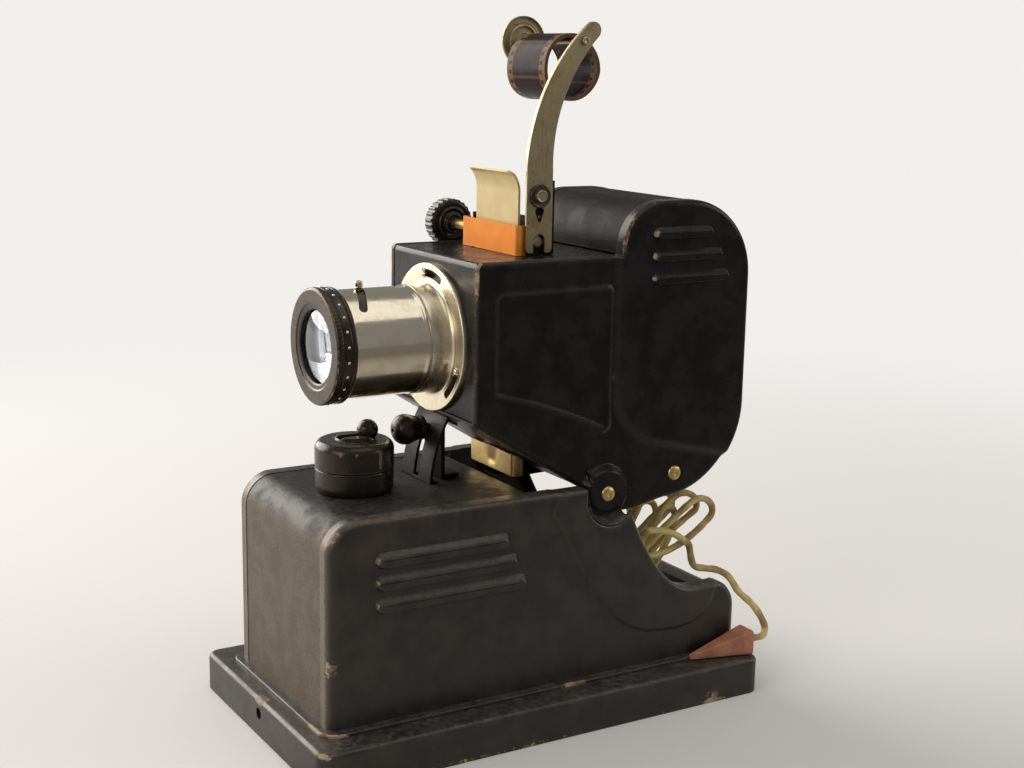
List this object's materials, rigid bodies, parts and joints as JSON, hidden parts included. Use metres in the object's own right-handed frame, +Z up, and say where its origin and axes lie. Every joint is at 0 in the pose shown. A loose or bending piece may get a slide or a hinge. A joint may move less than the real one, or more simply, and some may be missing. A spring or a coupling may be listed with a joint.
{
  "type": "filmstrip projector",
  "caption": "Small tabletop film projector: black sheet-metal base, tilting head with lamp house and louvres, nickel focusing lens, film gate, folding reel arm and coiled mains lead.",
  "frame": {"origin": "centre of the underside, on the surface that the projector stands on", "axes": "-Y is where the lens looks, +X is the viewer's side in the picture, +Z is up"},
  "size_m": [0.146, 0.2642, 0.3433],
  "materials": {
    "black_enamel": "semi-gloss black enamel on pressed sheet steel",
    "bakelite": "polished dark brown-black moulding",
    "nickel": "warm polished nickel plate",
    "aged_nickel": "aged nickel plate with brown spots",
    "brass": "plain brass",
    "cream_plate": "cream plated sheet",
    "orange_enamel": "orange enamel",
    "steel": "plain sheet and turned steel",
    "iron_core": "stacked iron sheets",
    "copper_winding": "varnished copper winding",
    "porcelain": "glazed porcelain",
    "lamp_glass": "clear lamp glass",
    "lens_glass": "polished lens glass",
    "mirror": "silvered dish",
    "film": "coiled film, dark purple-brown",
    "cotton_flex": "cotton-braided two-core flex",
    "terracotta": "terracotta-coloured rubber"
  },
  "bodies": {
    "base": {"plinth": "black_enamel", "bottom_plate": "steel", "housing_cheek_right": "black_enamel", "housing_cheek_left": "black_enamel", "housing_front_sheet": "black_enamel", "housing_tail_sheet": "black_enamel", "housing_partition": "black_enamel", "transformer_core": "iron_core", "transformer_winding": "copper_winding", "switch_base": "bakelite", "switch_cap": "bakelite", "clamp_bracket": "black_enamel", "hinge_screw_right": "brass", "hinge_screw_left": "brass", "cord_bush": "bakelite", "cord_lead": "cotton_flex", "cord_hank": "cotton_flex", "cord_tail": "cotton_flex", "cord_plug": "terracotta"},
    "switch_toggle": {"switch_lever": "bakelite"},
    "clamp": {"clamp_screw": "brass", "clamp_knob": "bakelite"},
    "head": {"head_cheek_right": "black_enamel", "head_cheek_left": "black_enamel", "head_front_sheet": "black_enamel", "head_floor": "black_enamel", "lamp_hood": "black_enamel", "tilt_strip": "black_enamel", "carrier_screw_right": "brass", "carrier_screw_left": "brass", "lamp_carrier": "steel", "lamp_socket": "porcelain", "lamp_bulb": "lamp_glass", "reflector": "mirror", "condenser_holder": "steel", "condenser_lens_front": "lens_glass", "condenser_lens_rear": "lens_glass", "aperture_plate": "steel", "gate_plate": "cream_plate", "gate_cover": "orange_enamel", "film_chute": "brass", "gate_bracket": "steel", "arm_rivet": "aged_nickel", "mount_screw_1": "nickel", "mount_screw_2": "nickel", "mount_screw_3": "nickel"},
    "film_drive": {"drive_shaft": "brass", "drive_roller": "steel", "film_knob": "bakelite"},
    "reel_arm_body": {"reel_arm": "aged_nickel", "reel_axle": "steel", "spool_disc": "aged_nickel"},
    "film_coil": {"film_roll": "film"},
    "lens_mount_body": {"lens_mount": "nickel"},
    "focus_glasses": {"lens_glass_front": "lens_glass", "lens_glass_rear": "lens_glass"},
    "focus_tube": {"lens_tube": "nickel", "focus_ring": "bakelite", "focus_pin": "nickel"}
  },
  "joints": [
    {"name": "switch_throw", "type": "hinge", "parent": "base", "child": "switch_toggle", "pos_m": [0, -0.074, 0.1346], "axis": [1, 0, 0], "range_deg": [0, 64]},
    {"name": "clamp_turn", "type": "hinge", "parent": "base", "child": "clamp", "pos_m": [-0.005, -0.0345, 0.1425], "axis": [0, 1, 0], "range_deg": [0, 180]},
    {"name": "head_tilt", "type": "hinge", "parent": "base", "child": "head", "pos_m": [0, 0.0402, 0.1122], "axis": [-1, 0, 0], "range_deg": [0, 15]},
    {"name": "film_drive_turn", "type": "hinge", "parent": "head", "child": "film_drive", "pos_m": [0, 0.01, 0.2373], "axis": [1, 0, 0], "continuous": true},
    {"name": "reel_arm_fold", "type": "hinge", "parent": "head", "child": "reel_arm_body", "pos_m": [0.027, 0.0104, 0.258], "axis": [1, 0, 0], "range_deg": [0, 90]},
    {"name": "film_coil_turn", "type": "hinge", "parent": "reel_arm_body", "child": "film_coil", "pos_m": [0, 0.03404, 0.3183], "axis": [1, 0, 0], "continuous": true},
    {"name": "lens_mount_turn", "type": "hinge", "parent": "head", "child": "lens_mount_body", "pos_m": [0, -0.034, 0.1885], "axis": [0, -1, 0], "range_deg": [0, 24]},
    {"name": "focus_slide", "type": "slide", "parent": "lens_mount_body", "child": "focus_glasses", "axis": [0, -1, 0], "range_m": [0, 0.005]},
    {"name": "focus_turn", "type": "hinge", "parent": "focus_glasses", "child": "focus_tube", "pos_m": [0, -0.0845, 0.1885], "axis": [0, 1, 0], "range_deg": [0, 40]}
  ],
  "couplings": [
    {"joint": "focus_turn", "follows": "focus_slide", "rad_per_m": 139.63}
  ]
}
